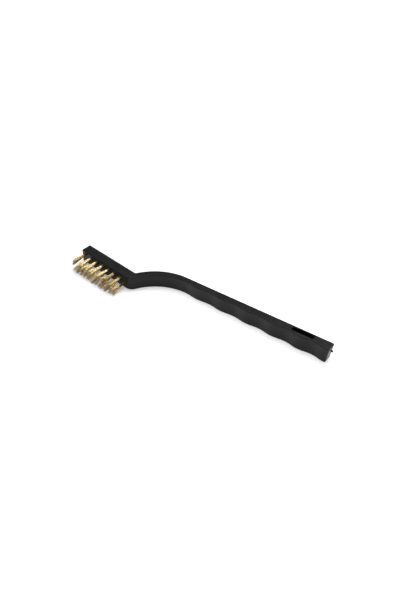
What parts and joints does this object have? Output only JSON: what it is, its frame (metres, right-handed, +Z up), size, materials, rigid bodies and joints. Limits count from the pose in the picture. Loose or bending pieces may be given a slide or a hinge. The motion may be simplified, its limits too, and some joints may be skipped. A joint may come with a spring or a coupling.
{
  "type": "brass wire cleaning brush",
  "caption": "Small toothbrush-style brush with brass wire tufts for cleaning soldering tips; black moulded handle with a waved grip, an offset head and a hang slot.",
  "frame": {"origin": "under the middle of the brush's bounding box, on the surface that it lies on", "axes": "+X along the grip towards the butt, +Y towards the brush's straight back (the wires point to -Y), +Z up through the brush's width"},
  "size_m": [0.18, 0.0324, 0.0113],
  "materials": {
    "handle_plastic": "satin moulded, lightly scuffed",
    "brass_wire": "bright drawn wire, cut ends",
    "anchor_steel": "plain flat wire"
  },
  "bodies": {
    "root": {"handle": "handle_plastic", "tuft_a1": "brass_wire", "tuft_a2": "brass_wire", "tuft_a3": "brass_wire", "tuft_a4": "brass_wire", "tuft_a5": "brass_wire", "tuft_a6": "brass_wire", "tuft_a7": "brass_wire", "tuft_b1": "brass_wire", "tuft_b2": "brass_wire", "tuft_b3": "brass_wire", "tuft_b4": "brass_wire", "tuft_b5": "brass_wire", "tuft_b6": "brass_wire", "tuft_b7": "brass_wire", "anchor_a1": "anchor_steel", "anchor_a2": "anchor_steel", "anchor_a3": "anchor_steel", "anchor_a4": "anchor_steel", "anchor_a5": "anchor_steel", "anchor_a6": "anchor_steel", "anchor_a7": "anchor_steel", "anchor_b1": "anchor_steel", "anchor_b2": "anchor_steel", "anchor_b3": "anchor_steel", "anchor_b4": "anchor_steel", "anchor_b5": "anchor_steel", "anchor_b6": "anchor_steel", "anchor_b7": "anchor_steel"}
  },
  "joints": []
}
